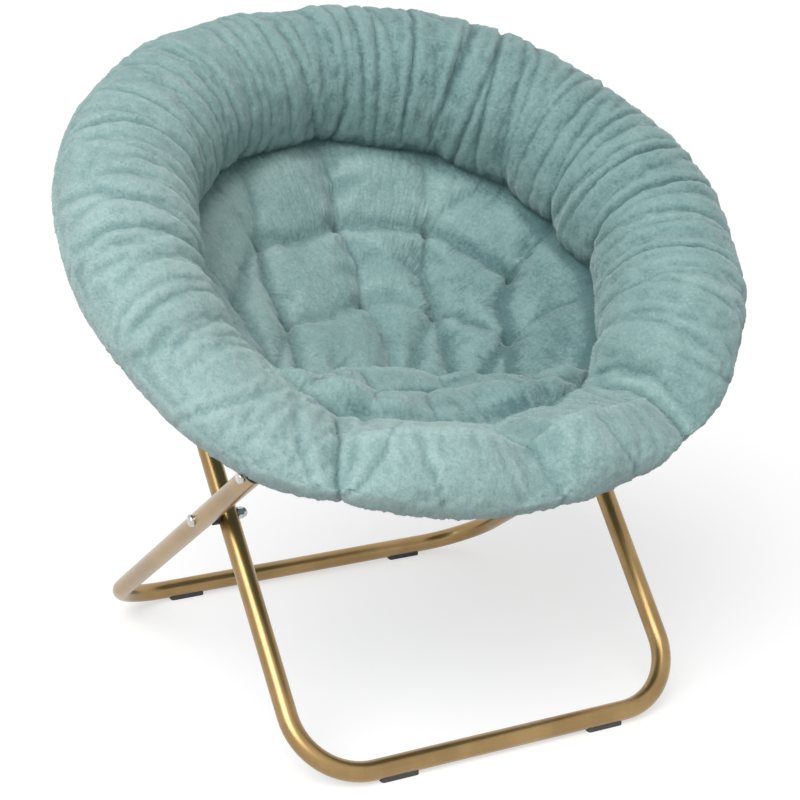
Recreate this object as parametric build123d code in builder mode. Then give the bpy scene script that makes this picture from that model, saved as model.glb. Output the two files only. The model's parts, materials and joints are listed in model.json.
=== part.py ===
# Folding saucer chair: a padded seat ring in two hinged parts on two crossing tube legs.
# Millimetres. +Z is up, the sitter faces -Y, and the origin is on the floor under the middle.
# Left is -X and right is +X, as seen from in front of the chair.

import os
from math import asin, atan2, cos, hypot, radians, sin, sqrt

from build123d import *

os.makedirs("parts", exist_ok=True)

# Tubes
tube_diameter = 25.0
tube_wall = 1.5
leg_bend_radius = 85.0
leg_end_overhang = 12.0  # tube past its top bolt

# Legs
front_leg_half_width = 259.0  # to the tube's centre line
leg_gap = 8.0  # between the tubes where they cross
front_foot_y = -265.0
rear_foot_y = 347.0

# Seat, measured along its slope and square to it from the rim's centre
seat_tilt = 30.0
rim_centre_height = 586.0
rim_centre_y = -5.0
rim_radius = 355.0  # to the middle of the padded roll
rim_puff = 75.0  # half the roll's thickness
shoulder = 0.73  # how full the roll's upper outer side is
seam_radius = 272.0  # rim sewn to seat pad, upper side
seam_depth = 78.0
under_seam_radius = 290.0
under_seam_depth = 112.0
pad_depth = 172.0  # seat pad's upper side at the middle
pad_thickness = 40.0

# Ring tubes inside the rim
ring_outset = 30.0  # ring outside the middle of the roll
ring_drop = 45.0  # ring below the middle of the roll
ring_end_run = 40.0  # straight tube at each end
hinge_offset = 150.0  # hinge line in front of the ring's centre
hinge_gap = 45.0  # from the hinge line to each tube end

# Hinge leaves, lugs and fasteners
leaf_thickness = 6.0
leaf_height = 20.0
leaf_reach = 10.0  # leaf past its pin
spigot_length = 28.0
collar_length = 14.0
rivet_diameter = 5.0
rivet_head_diameter = 8.0
rivet_head_height = 1.6
head_taper = 25.0  # degrees, sides of a rivet's or pin's head
pin_diameter = 8.0
lug_thickness = 4.0
lug_width = 22.0
front_lug_drop = 42.0  # from the ring's centre line to the bolt
rear_lug_drop = 55.0
bolt_diameter = 8.0
bolt_head_diameter = 15.0
bolt_head_height = 5.0
bolt_head_round = 3.5
washer_diameter = 17.0
washer_thickness = 1.5
nut_width = 13.0  # across the flats
nut_height = 6.5
nut_dome_height = 6.0
nut_dome_round = 5.4
spacer_diameter = 20.0
cap_thickness = 2.0
cap_plug_length = 6.0
cap_round = 1.0
glide_length = 50.0
glide_width = 18.0
glide_thickness = 3.0  # under the tube
glide_rise = 7.0  # how far the glide climbs the tube's sides
glide_from_bend = 6.0
glide_corner_radius = 4.5
glide_chamfer = 0.75

# Clearances
running_clearance = 0.05  # radial, bolts and pins in their holes
fit_clearance = 0.05  # radial, plugs and spigots in a tube
face_clearance = 0.3  # between pieces that turn past each other
channel_clearance = 2.0  # padding round the ring, hinges and lugs
split_gap = 1.0  # between the two parts of the padding
seam_gap = 0.6  # between rim and seat pad, where they are sewn

# Padding
# Sections of the roll, by degrees from the middle of the front towards the right. The rest are shares
# of rim_puff: crown out and up, widest place out and up, underside, and how full the inner side is.
roll_rows = [
    (-90, 0.09, 0.72, 1.00, -0.07, -1.02, 1.0),
    (-75, 0.20, 0.50, 1.00, -0.13, -1.04, 1.0),
    (-62, 0.31, 0.20, 1.05, -0.22, -1.02, 0.95),
    (-52, 0.30, 0.02, 1.07, -0.28, -1.00, 0.8),
    (-42, 0.20, -0.13, 1.07, -0.30, -1.00, 0.5),
    (-33, 0.00, -0.08, 1.04, -0.22, -1.02, 0.25),
    (-25, -0.06, 0.20, 1.01, -0.13, -1.04, 0.2),
    (-16, -0.06, 0.25, 1.00, -0.11, -1.05, 0.2),
    (-5, -0.06, 0.06, 1.00, -0.06, -1.04, 0.2),
    (5, -0.06, 0.28, 1.00, -0.03, -1.02, 0.2),
    (13, -0.06, 0.34, 1.00, -0.01, -1.00, 0.2),
    (23, -0.04, 0.05, 1.00, -0.10, -1.02, 0.2),
    (32, 0.00, -0.02, 0.98, -0.19, -1.04, 0.3),
    (40, 0.01, 0.38, 0.95, -0.07, -1.01, 0.8),
    (50, 0.01, 0.77, 0.92, 0.00, -1.00, 1.0),
    (64, 0.01, 0.93, 0.95, 0.00, -1.00, 1.0),
    (90, 0.00, 0.97, 0.99, 0.00, -1.00, 1.0),
    (110, 0.00, 0.97, 1.04, 0.00, -1.00, 1.0),
    (130, 0.00, 0.95, 1.06, 0.00, -1.00, 1.0),
    (155, 0.01, 0.85, 1.01, -0.03, -1.00, 1.0),
    (180, 0.01, 0.75, 0.95, -0.07, -1.00, 1.0),
    (205, 0.00, 0.79, 0.95, -0.04, -1.00, 1.0),
    (230, 0.00, 0.85, 0.95, 0.00, -1.00, 1.0),
    (252, 0.02, 0.86, 0.97, -0.02, -1.00, 1.0),
    (270, 0.09, 0.72, 1.00, -0.07, -1.02, 1.0),
]
lofted_steps = 4  # sections from one end of a loft to the other
tuft_radius = 42.0  # ball that presses each sewn tuft into the pad
tuft_depth = 16.0
inner_tuft_circle = 100.0
inner_tuft_count = 5
outer_tuft_circle = 195.0
outer_tuft_count = 9
first_tuft_angle = 90.0  # at the back

# Worked out from the sizes above
tube_radius = tube_diameter / 2
bore_radius = tube_radius - tube_wall
ring_radius = rim_radius + ring_outset
bolt_radius = bolt_diameter / 2
pin_radius = pin_diameter / 2
foot_z = glide_thickness + tube_radius
rear_leg_half_width = front_leg_half_width + tube_diameter + leg_gap
tilt = radians(seat_tilt)
slope_dir = (0, cos(tilt), sin(tilt))
normal_dir = (0, -sin(tilt), cos(tilt))


def seat_point(along, above):
    """Y and Z of a point up the seat's slope and square above it."""
    y = rim_centre_y + along * cos(tilt) - above * sin(tilt)
    z = rim_centre_height + along * sin(tilt) + above * cos(tilt)
    return y, z


lug_inset = tube_radius + washer_thickness + face_clearance + lug_thickness / 2
rear_lug_x = front_leg_half_width - lug_inset
front_lug_x = rear_leg_half_width - lug_inset
rear_lug_along = sqrt(ring_radius**2 - rear_lug_x**2)
front_lug_along = -sqrt(ring_radius**2 - front_lug_x**2)
back_bolt_yz = seat_point(rear_lug_along, -ring_drop - rear_lug_drop)
front_bolt_yz = seat_point(front_lug_along, -ring_drop - front_lug_drop)


def leg_lean(foot_y, top):
    """Angle of a leg from upright, positive towards the back."""
    return atan2(top[0] - foot_y, top[1] - foot_z)


def crossing(foot_a, lean_a, foot_b, lean_b):
    """Y and Z where the two legs cross, seen from the side."""
    height = (foot_b - foot_a) / (sin(lean_a) / cos(lean_a) - sin(lean_b) / cos(lean_b))
    return foot_a + height * sin(lean_a) / cos(lean_a), foot_z + height


front_lean = leg_lean(front_foot_y, back_bolt_yz)
rear_lean = leg_lean(rear_foot_y, front_bolt_yz)
front_leg_length = hypot(back_bolt_yz[0] - front_foot_y, back_bolt_yz[1] - foot_z) + leg_end_overhang
rear_leg_length = hypot(front_bolt_yz[0] - rear_foot_y, front_bolt_yz[1] - foot_z) + leg_end_overhang
pivot_yz = crossing(front_foot_y, front_lean, rear_foot_y, rear_lean)

ring_plane = Plane((0, *seat_point(0, -ring_drop)), x_dir=(1, 0, 0), z_dir=normal_dir)
seat_axis = Axis((0, *seat_point(0, 0)), normal_dir)

# Ends of the ring tubes, on the right: the angle where each arc stops and its straight run starts
end_swing = hypot(ring_radius, ring_end_run)
end_lead = atan2(ring_end_run, ring_radius)
rear_arc_end = asin((hinge_gap - hinge_offset) / end_swing) + end_lead
front_arc_end = asin((-hinge_gap - hinge_offset) / end_swing) - end_lead
rear_end_dir = (sin(rear_arc_end), -cos(rear_arc_end))
front_end_dir = (-sin(front_arc_end), cos(front_arc_end))


def along_run(arc_end, direction, distance):
    """Point on the ring plane a distance past the end of an arc."""
    x = ring_radius * cos(arc_end) + direction[0] * distance
    along = ring_radius * sin(arc_end) + direction[1] * distance
    return x, along


rear_tube_end = along_run(rear_arc_end, rear_end_dir, ring_end_run)
front_tube_end = along_run(front_arc_end, front_end_dir, ring_end_run)
hinge_x = rear_tube_end[0] + rear_end_dir[0] * hinge_gap / -rear_end_dir[1]
hinge_yz = seat_point(-hinge_offset, -ring_drop)


def save(builder, name):
    """Label a finished piece and write it."""
    builder.part.label = name
    export_step(builder.part, f"parts/{name}.step")


def save_pair(right, stem):
    """Write a right-hand piece and its mirror image."""
    save(right, f"{stem}_right")
    with BuildPart() as left:
        mirror(right.part, about=Plane.YZ)
    save(left, f"{stem}_left")


def save_group(right, name):
    """Write a right-hand piece and its mirror image as one node of two solids."""
    with BuildPart() as group:
        add(right.part)
        mirror(right.part, about=Plane.YZ)
    save(group, name)


# Leg tubes
def leg_plane(foot_y, lean):
    return Plane((0, foot_y, foot_z), x_dir=(1, 0, 0), z_dir=(0, -cos(lean), sin(lean)))


def leg_tube(plane, half_width, length, bolt_points):
    with BuildPart() as tube:
        with BuildLine(plane) as path:
            FilletPolyline(
                (half_width, length),
                (half_width, 0),
                (-half_width, 0),
                (-half_width, length),
                radius=leg_bend_radius,
            )
        with BuildSketch(Plane(path.line @ 0, z_dir=path.line % 0)):
            Circle(tube_radius)
            Circle(bore_radius, mode=Mode.SUBTRACT)
        sweep(path=path.line)
        with BuildSketch(Plane.YZ):
            with Locations(*bolt_points):
                Circle(bolt_radius + running_clearance)
        extrude(amount=half_width + tube_diameter, both=True, mode=Mode.SUBTRACT)
    return tube


front_plane = leg_plane(front_foot_y, front_lean)
rear_plane = leg_plane(rear_foot_y, rear_lean)
front_leg_tube = leg_tube(
    front_plane, front_leg_half_width, front_leg_length, [back_bolt_yz, pivot_yz]
)
save(front_leg_tube, "front_leg_tube")
rear_leg_tube = leg_tube(
    rear_plane, rear_leg_half_width, rear_leg_length, [front_bolt_yz, pivot_yz]
)
save(rear_leg_tube, "rear_leg_tube")


def leg_end_plane(plane, half_width, length):
    """Plane square to the right-hand end of a leg tube, facing out of it."""
    end = plane.from_local_coords((half_width, length, 0))
    return Plane(end, x_dir=(1, 0, 0), z_dir=plane.y_dir)


# Plastic plugs in the tops of the legs
def leg_cap(plane, half_width, length):
    end_plane = leg_end_plane(plane, half_width, length)
    with BuildPart() as cap:
        with BuildSketch(end_plane):
            Circle(tube_radius)
        extrude(amount=cap_thickness)
        fillet(cap.edges().group_by(Axis(end_plane.origin, end_plane.z_dir))[-1], cap_round)
        with BuildSketch(end_plane):
            Circle(bore_radius - fit_clearance)
        extrude(amount=-cap_plug_length)
    return cap


save_pair(leg_cap(front_plane, front_leg_half_width, front_leg_length), "front_leg_cap")
save_pair(leg_cap(rear_plane, rear_leg_half_width, rear_leg_length), "rear_leg_cap")


# Glides under the floor bars, saddled to the tube
def glide(foot_y, half_width):
    middle_x = half_width - leg_bend_radius - glide_from_bend - glide_length / 2
    with BuildPart() as pad:
        with BuildSketch(Plane.XY):
            with Locations((middle_x, foot_y)):
                RectangleRounded(glide_length, glide_width, glide_corner_radius)
        extrude(amount=glide_thickness + glide_rise)
        with BuildSketch(Plane.YZ.offset(middle_x)):
            with Locations((foot_y, foot_z)):
                Circle(tube_radius)
        extrude(amount=glide_length, both=True, mode=Mode.SUBTRACT)
        chamfer(pad.faces().sort_by(Axis.Z)[0].edges(), glide_chamfer)
    return pad


save_pair(glide(front_foot_y, front_leg_half_width), "front_glide")
save_pair(glide(rear_foot_y, rear_leg_half_width), "rear_glide")


# Ring tubes
def ring_path(arc_end, direction, middle_angle):
    end_x, end_along = along_run(arc_end, direction, ring_end_run)
    arc_x, arc_along = along_run(arc_end, direction, 0)
    with BuildLine(ring_plane) as path:
        Line((end_x, end_along), (arc_x, arc_along))
        middle = (0, ring_radius * sin(middle_angle))
        ThreePointArc((arc_x, arc_along), middle, (-arc_x, arc_along))
        Line((-arc_x, arc_along), (-end_x, end_along))
    return path.line


def ring_tube(path, radius, bore):
    with BuildPart() as tube:
        with BuildSketch(Plane(path @ 0, z_dir=path % 0)):
            Circle(radius)
            if bore:
                Circle(bore, mode=Mode.SUBTRACT)
        sweep(path=path)
    return tube


def run_plane(tube_end, direction, distance):
    """Plane square to a ring tube's end run, a distance past the tube's end."""
    local = (tube_end[0] + direction[0] * distance, tube_end[1] + direction[1] * distance, 0)
    outward = ring_plane.from_local_coords((local[0] + direction[0], local[1] + direction[1], 0))
    origin = ring_plane.from_local_coords(local)
    return Plane(origin, x_dir=normal_dir, z_dir=outward - origin)


def rivet_plane(tube_end, direction):
    """Plane square to the rivet that holds a leaf's spigot in its tube."""
    run = run_plane(tube_end, direction, -spigot_length / 2)
    return Plane(run.origin, x_dir=normal_dir, z_dir=run.y_dir)


def rivet_drill(plane):
    """Solid that clears a rivet's hole."""
    with BuildPart() as drill:
        with BuildSketch(plane):
            Circle(rivet_diameter / 2 + fit_clearance)
        extrude(amount=tube_diameter, both=True)
    return drill


def mirrored(plane):
    """The same plane on the left side."""
    flip = (-1, 1, 1)
    return Plane(
        tuple(a * b for a, b in zip(tuple(plane.origin), flip)),
        x_dir=tuple(a * b for a, b in zip(tuple(plane.x_dir), flip)),
        z_dir=tuple(a * b for a, b in zip(tuple(plane.z_dir), flip)),
    )


def pierced_ring(path, tube_end, direction):
    with BuildPart() as ring:
        add(ring_tube(path, tube_radius, bore_radius).part)
        add(rivet_drill(rivet_plane(tube_end, direction)).part, mode=Mode.SUBTRACT)
        add(rivet_drill(mirrored(rivet_plane(tube_end, direction))).part, mode=Mode.SUBTRACT)
    return ring


back_angle = radians(90)
front_angle = radians(-90)
rear_path = ring_path(rear_arc_end, rear_end_dir, back_angle)
front_path = ring_path(front_arc_end, front_end_dir, front_angle)
save(pierced_ring(rear_path, rear_tube_end, rear_end_dir), "rear_ring_tube")
save(pierced_ring(front_path, front_tube_end, front_end_dir), "front_ring_tube")
rear_rod = ring_tube(rear_path, tube_radius, 0)
front_rod = ring_tube(front_path, tube_radius, 0)


# Hinge leaves: a strip on the pin, bent to a collar and a spigot that is riveted into the tube
def leaf_body(tube_end, direction, side, ahead, grow):
    """Strip and collar of a leaf, grown all round where it clears a pocket."""
    strip_x = hinge_x + side * (leaf_thickness + face_clearance) / 2
    collar_x = tube_end[0] + direction[0] * collar_length / 2
    collar_along = tube_end[1] + direction[1] * collar_length / 2
    with BuildPart() as body:
        with BuildSketch(ring_plane):
            with BuildLine():
                Polyline(
                    (strip_x, -hinge_offset - ahead * (leaf_reach + grow)),
                    (strip_x, -hinge_offset + ahead * leaf_reach),
                    (collar_x, collar_along),
                )
            trace(line_width=leaf_thickness + 2 * grow)
        extrude(amount=leaf_height / 2 + grow, both=True)
        with BuildSketch(run_plane(tube_end, direction, 0)):
            Circle(tube_radius + grow)
        extrude(amount=collar_length + grow)
    return body


def hinge_leaf(tube_end, direction, side, ahead):
    with BuildPart() as leaf:
        add(leaf_body(tube_end, direction, side, ahead, 0).part)
        with BuildSketch(run_plane(tube_end, direction, 0)):
            Circle(bore_radius - fit_clearance)
        extrude(amount=-spigot_length)
        with BuildSketch(Plane.YZ):
            with Locations(hinge_yz):
                Circle(pin_radius + running_clearance)
        extrude(amount=ring_radius + tube_diameter, mode=Mode.SUBTRACT)
        add(rivet_drill(rivet_plane(tube_end, direction)).part, mode=Mode.SUBTRACT)
    return leaf


save_pair(hinge_leaf(rear_tube_end, rear_end_dir, 1, 1), "rear_hinge_leaf")
save_pair(hinge_leaf(front_tube_end, front_end_dir, -1, -1), "front_hinge_leaf")


def headed_pin(plane, radius, start, end, head_radius, head_height):
    """A pin along a plane's normal with a low round head at each end."""
    with BuildPart() as pin:
        with BuildSketch(plane.offset(start)):
            Circle(radius)
        extrude(amount=end - start)
        with BuildSketch(plane.offset(end)):
            Circle(head_radius)
        extrude(amount=head_height, taper=head_taper)
        with BuildSketch(plane.offset(start)):
            Circle(head_radius)
        extrude(amount=-head_height, taper=head_taper)
    return pin


hinge_plane = Plane((hinge_x, *hinge_yz), x_dir=(0, 1, 0), z_dir=(1, 0, 0))
hinge_half_stack = leaf_thickness + face_clearance
save_pair(
    headed_pin(
        hinge_plane, pin_radius, -hinge_half_stack, hinge_half_stack, pin_diameter, rivet_head_height
    ),
    "hinge_pin",
)
for tube_end, direction, name in (
    (rear_tube_end, rear_end_dir, "rear_leaf_rivets"),
    (front_tube_end, front_end_dir, "front_leaf_rivets"),
):
    rivet = headed_pin(
        rivet_plane(tube_end, direction),
        rivet_diameter / 2,
        -tube_radius,
        tube_radius,
        rivet_head_diameter / 2,
        rivet_head_height,
    )
    save_group(rivet, name)


# Lugs welded under the ring tubes
def lug(x, bolt_yz, drop, rod):
    plane = Plane((x, *bolt_yz), x_dir=normal_dir, z_dir=(1, 0, 0))
    with BuildPart() as plate:
        with BuildSketch(plane):
            with Locations((drop / 2, 0)):
                SlotCenterToCenter(drop, lug_width)
            Circle(bolt_radius + running_clearance, mode=Mode.SUBTRACT)
        extrude(amount=lug_thickness / 2, both=True)
        add(rod.part, mode=Mode.SUBTRACT)
    return plate


rear_lug = lug(rear_lug_x, back_bolt_yz, rear_lug_drop, rear_rod)
front_lug = lug(front_lug_x, front_bolt_yz, front_lug_drop, front_rod)
save_pair(rear_lug, "rear_lug")
save_pair(front_lug, "front_lug")


# Bolts, washers, spacers and dome nuts, all along X
def x_plane(x, yz, facing):
    return Plane((x, *yz), x_dir=(0, 1, 0), z_dir=(facing, 0, 0))


def bolt(head_x, end_x, yz):
    """A bolt with a domed head outside and a plain shank inwards."""
    with BuildPart() as screw:
        with BuildSketch(x_plane(head_x, yz, 1)):
            Circle(bolt_head_diameter / 2)
        extrude(amount=bolt_head_height)
        fillet(screw.edges().group_by(Axis.X)[-1], bolt_head_round)
        with BuildSketch(x_plane(head_x, yz, -1)):
            Circle(bolt_radius)
        extrude(amount=head_x - end_x)
    return screw


def washer(x, yz, outer, thickness):
    """A flat ring from x inwards."""
    with BuildPart() as ring:
        with BuildSketch(x_plane(x, yz, -1)):
            Circle(outer / 2)
            Circle(bolt_radius + running_clearance, mode=Mode.SUBTRACT)
        extrude(amount=thickness)
    return ring


def dome_nut(x, yz):
    """A hexagon nut with a dome, closed on the inner side."""
    with BuildPart() as nut:
        with BuildSketch(x_plane(x, yz, -1)):
            RegularPolygon(nut_width / 2, 6, major_radius=False)
        extrude(amount=nut_height)
        with BuildSketch(x_plane(x - nut_height, yz, -1)):
            Circle(nut_width / 2)
        extrude(amount=nut_dome_height)
        fillet(nut.edges().group_by(Axis.X)[0], nut_dome_round)
        with BuildSketch(x_plane(x, yz, -1)):
            Circle(bolt_radius + running_clearance)
        extrude(amount=nut_height, mode=Mode.SUBTRACT)
    return nut


def bolted_lug(half_width, lug_x, yz, stem):
    """Bolt, washers and nut that join a leg's top to its lug."""
    outer_face = half_width + tube_radius
    inner_face = half_width - tube_radius
    nut_x = lug_x - lug_thickness / 2 - face_clearance
    save_pair(bolt(outer_face, nut_x - nut_height + face_clearance, yz), f"{stem}_bolt")
    save_group(washer(inner_face, yz, washer_diameter, washer_thickness), f"{stem}_washers")
    save_group(dome_nut(nut_x, yz), f"{stem}_nuts")


bolted_lug(front_leg_half_width, rear_lug_x, back_bolt_yz, "back")
bolted_lug(rear_leg_half_width, front_lug_x, front_bolt_yz, "front")

# The crossing: a stud, spacer and nut on the front leg, and a bolt in the rear leg
stud_end = rear_leg_half_width - tube_radius - face_clearance
front_inner_face = front_leg_half_width - tube_radius
with BuildPart() as pivot_stud:
    with BuildSketch(x_plane(stud_end, pivot_yz, -1)):
        Circle(bolt_radius)
    extrude(amount=stud_end - front_inner_face + nut_height - face_clearance)
save_pair(pivot_stud, "pivot_stud")
save_group(dome_nut(front_inner_face, pivot_yz), "pivot_nuts")
save_pair(
    washer(stud_end, pivot_yz, spacer_diameter, leg_gap - face_clearance), "pivot_spacer"
)
save_pair(
    bolt(
        rear_leg_half_width + tube_radius,
        rear_leg_half_width - tube_radius + face_clearance,
        pivot_yz,
    ),
    "pivot_bolt",
)


# Padding: a fat roll round the ring, lower at the front, and a tufted bowl inside it
def seat_section_plane(angle):
    """Upright plane through the seat's axis, an angle round from the right-hand side."""
    outward = (cos(angle), sin(angle) * cos(tilt), sin(angle) * sin(tilt))
    across = (-sin(angle), cos(angle) * cos(tilt), cos(angle) * sin(tilt))
    return Plane((0, *seat_point(0, 0)), x_dir=outward, z_dir=tuple(-a for a in across))


def roll_section(from_front, crown_out, crown_up, wide_out, wide_up, under, belly):
    """Closed outline of the roll in one section plane."""
    seam = (seam_radius + seam_gap, -seam_depth)
    under_seam = (under_seam_radius + seam_gap, -under_seam_depth)
    crown_r, crown_z = rim_radius + crown_out * rim_puff, crown_up * rim_puff
    wide_r, wide_z = rim_radius + wide_out * rim_puff, wide_up * rim_puff
    under_z = under * rim_puff
    quarter = sqrt(0.5)
    # middle of the inner side: on the arc that leaves the crown level, or nearer to the straight line
    reach, rise = crown_r - seam[0], crown_z - seam[1]
    arc = (reach**2 + rise**2) / (2 * rise)
    turn = atan2(reach, arc - rise) / 2
    full = (crown_r - arc * sin(turn), crown_z - arc + arc * cos(turn))
    flat = ((crown_r + seam[0]) / 2, (crown_z + seam[1]) / 2)
    inner = tuple(f + belly * (a - f) for a, f in zip(full, flat))
    with BuildSketch(seat_section_plane(front_angle + radians(from_front))) as section:
        with BuildLine():
            Line(seam, under_seam)
            Line(under_seam, (rim_radius, under_z))
            ThreePointArc(
                (rim_radius, under_z),
                (rim_radius + (wide_r - rim_radius) * quarter, wide_z + (under_z - wide_z) * quarter),
                (wide_r, wide_z),
            )
            ThreePointArc(
                (wide_r, wide_z),
                (crown_r + (wide_r - crown_r) * shoulder, wide_z + (crown_z - wide_z) * shoulder),
                (crown_r, crown_z),
            )
            ThreePointArc((crown_r, crown_z), inner, seam)
        make_face()
    return section.sketch


with BuildPart() as full_roll:
    for first in range(0, len(roll_rows) - 1, lofted_steps):
        for row in roll_rows[first : first + lofted_steps + 1]:
            add(roll_section(*row))
        loft()

pad_top_radius = (seam_radius**2 + (pad_depth - seam_depth) ** 2) / (2 * (pad_depth - seam_depth))


def tuft_height(circle):
    """Height of a tuft ball's middle above the roll's middle plane."""
    bowl = pad_top_radius - sqrt(pad_top_radius**2 - circle**2)
    return bowl - pad_depth + tuft_radius - tuft_depth


seat_plane = Plane((0, *seat_point(0, 0)), x_dir=(1, 0, 0), z_dir=normal_dir)
with BuildPart() as full_pad:
    with BuildSketch(seat_section_plane(0)):
        with BuildLine():
            TangentArc((0, -pad_depth), (seam_radius, -seam_depth), tangent=(1, 0))
            Line((seam_radius, -seam_depth), (under_seam_radius, -under_seam_depth))
            under = -pad_depth - pad_thickness
            TangentArc((0, under), (under_seam_radius, -under_seam_depth), tangent=(1, 0))
            Line((0, under), (0, -pad_depth))
        make_face()
    revolve(axis=seat_axis)
    for circle, count in ((inner_tuft_circle, inner_tuft_count), (outer_tuft_circle, outer_tuft_count)):
        with Locations(seat_plane.offset(tuft_height(circle))):
            with PolarLocations(circle, count, start_angle=first_tuft_angle):
                Sphere(tuft_radius, mode=Mode.SUBTRACT)


# Room in the padding for the ring, its hinges, its lugs and the leg tops
def lug_pocket(x, bolt_yz, drop):
    plane = Plane((x, *bolt_yz), x_dir=normal_dir, z_dir=(1, 0, 0))
    with BuildPart() as pocket:
        with BuildSketch(plane):
            with Locations((drop / 2, 0)):
                SlotCenterToCenter(drop, lug_width + 2 * channel_clearance)
        extrude(amount=lug_thickness / 2 + channel_clearance, both=True)
    return pocket


def leg_pocket(plane, half_width, length):
    with BuildPart() as pocket:
        with BuildSketch(leg_end_plane(plane, half_width, length).offset(-lug_width)):
            Circle(tube_radius + channel_clearance)
        extrude(amount=lug_width + cap_thickness + channel_clearance)
    return pocket


pin_half_length = hinge_half_stack + rivet_head_height + channel_clearance
with BuildPart() as pin_pocket:
    with BuildSketch(hinge_plane):
        Circle(pin_diameter + channel_clearance)
    extrude(amount=pin_half_length, both=True)

right_pockets = [
    leaf_body(rear_tube_end, rear_end_dir, 1, 1, channel_clearance),
    leaf_body(front_tube_end, front_end_dir, -1, -1, channel_clearance),
    lug_pocket(rear_lug_x, back_bolt_yz, rear_lug_drop),
    lug_pocket(front_lug_x, front_bolt_yz, front_lug_drop),
    leg_pocket(front_plane, front_leg_half_width, front_leg_length),
    leg_pocket(rear_plane, rear_leg_half_width, rear_leg_length),
    pin_pocket,
]
with BuildPart() as roll_with_channel:
    add(full_roll.part)
    for path in (rear_path, front_path):
        add(ring_tube(path, tube_radius + channel_clearance, 0).part, mode=Mode.SUBTRACT)
    for pocket in right_pockets:
        add(pocket.part, mode=Mode.SUBTRACT)
        add(mirror(pocket.part, about=Plane.YZ, mode=Mode.PRIVATE), mode=Mode.SUBTRACT)


def hinge_split(gap_side):
    """Plane across the seat at the hinge line, half the gap to one side of it."""
    middle = seat_point(-hinge_offset + gap_side * split_gap / 2, 0)
    return Plane((0, *middle), x_dir=(1, 0, 0), z_dir=slope_dir)


for whole, stem in ((roll_with_channel, "rim_roll"), (full_pad, "seat_pad")):
    for gap_side, keep, name in ((1, Keep.TOP, f"{stem}_rear"), (-1, Keep.BOTTOM, f"{stem}_front")):
        with BuildPart() as half:
            add(whole.part)
            split(bisect_by=hinge_split(gap_side), keep=keep)
            # scraps that the pockets cut free are left out
            add(half.solids().sort_by(SortBy.VOLUME)[-1], mode=Mode.REPLACE)
        save(half, name)
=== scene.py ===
import json
import math

import bpy
import numpy as np
from mathutils import Matrix, Vector, noise


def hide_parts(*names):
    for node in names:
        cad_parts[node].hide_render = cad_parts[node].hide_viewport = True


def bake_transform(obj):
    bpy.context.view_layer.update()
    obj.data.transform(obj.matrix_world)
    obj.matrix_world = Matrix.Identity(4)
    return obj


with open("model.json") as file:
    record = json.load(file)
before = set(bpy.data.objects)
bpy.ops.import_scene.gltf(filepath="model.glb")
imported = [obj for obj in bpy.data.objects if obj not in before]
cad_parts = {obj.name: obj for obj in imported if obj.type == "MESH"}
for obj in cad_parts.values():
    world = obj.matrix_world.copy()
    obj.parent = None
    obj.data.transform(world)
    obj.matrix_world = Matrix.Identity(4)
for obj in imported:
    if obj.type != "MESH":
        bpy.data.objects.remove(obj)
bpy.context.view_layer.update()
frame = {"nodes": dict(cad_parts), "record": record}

nodes = frame["nodes"]
scene = bpy.context.scene
scene.view_settings.view_transform = "Standard"
print("frame loaded,", len(nodes), "nodes")

# Camera, at the photo's place
camera = {
    "place": (-1.020, -1.968, 1.058),
    "yaw": 27.61,
    "pitch": -19.84,
    "roll": 0.63,
    "focalPixels": 1832.0,
    "imagePixels": 800.0,
    "shift": (-0.0141, 0.1045),
}


def addCamera():
    yaw, pitch, roll = (math.radians(camera[k]) for k in ("yaw", "pitch", "roll"))
    ahead = Vector((math.sin(yaw) * math.cos(pitch), math.cos(yaw) * math.cos(pitch), math.sin(pitch)))
    side = Vector((math.cos(yaw), -math.sin(yaw), 0.0))
    up = side.cross(ahead)
    right = side * math.cos(roll) + up * math.sin(roll)
    top = up * math.cos(roll) - side * math.sin(roll)
    lens = bpy.data.cameras.new("photoCamera")
    lens.sensor_width = 36.0
    lens.lens = camera["focalPixels"] / camera["imagePixels"] * lens.sensor_width
    lens.shift_x, lens.shift_y = camera["shift"]
    lens.clip_start = 0.05
    eye = bpy.data.objects.new("photoCamera", lens)
    eye.matrix_world = Matrix((right, top, -ahead)).transposed().to_4x4()
    eye.location = camera["place"]
    scene.collection.objects.link(eye)
    scene.camera = eye


addCamera()
print("camera placed")


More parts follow.
